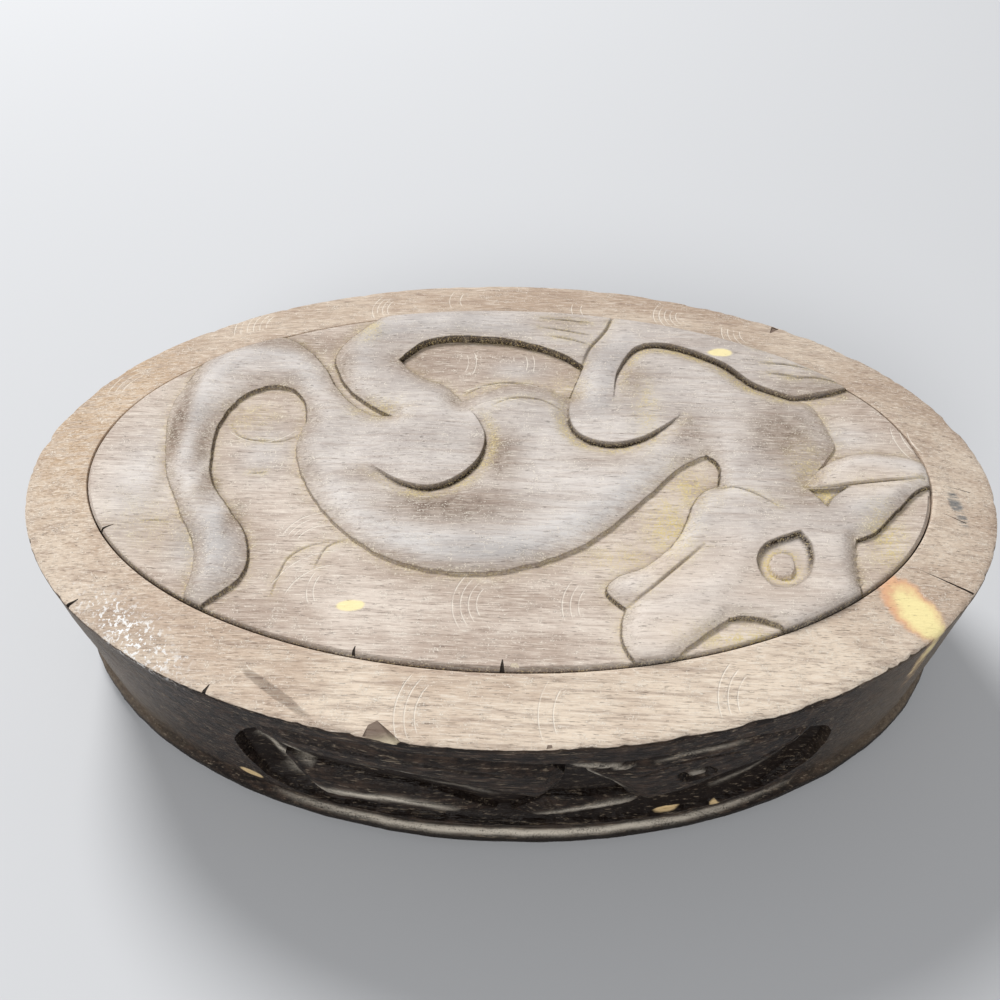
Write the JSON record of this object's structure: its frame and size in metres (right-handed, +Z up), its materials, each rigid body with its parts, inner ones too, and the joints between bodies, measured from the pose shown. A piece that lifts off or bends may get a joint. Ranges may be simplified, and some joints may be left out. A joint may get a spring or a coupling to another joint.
{
  "type": "trinket box",
  "caption": "Oval wooden trinket box carved from one block, with a loose lid let flush into the rim and carved with an animal in low relief.",
  "frame": {"origin": "middle of the flat underside, which is the bottom centre of the bounding box", "axes": "+X along the length, +Z up, and the side with the carved panel faces -Y"},
  "size_m": [0.2, 0.123, 0.0521],
  "materials": {
    "rim_wood": "dry worn dark hardwood, near black in the carved side",
    "lid_wood": "worn dark hardwood with a dull handled sheen"
  },
  "bodies": {
    "box": {"box_body": "rim_wood"},
    "lid": {"lid": "lid_wood"}
  },
  "joints": [
    {"name": "lid_lift", "type": "slide", "parent": "box", "child": "lid", "axis": [0, 0, 1], "range_m": [0, 0.06]}
  ]
}
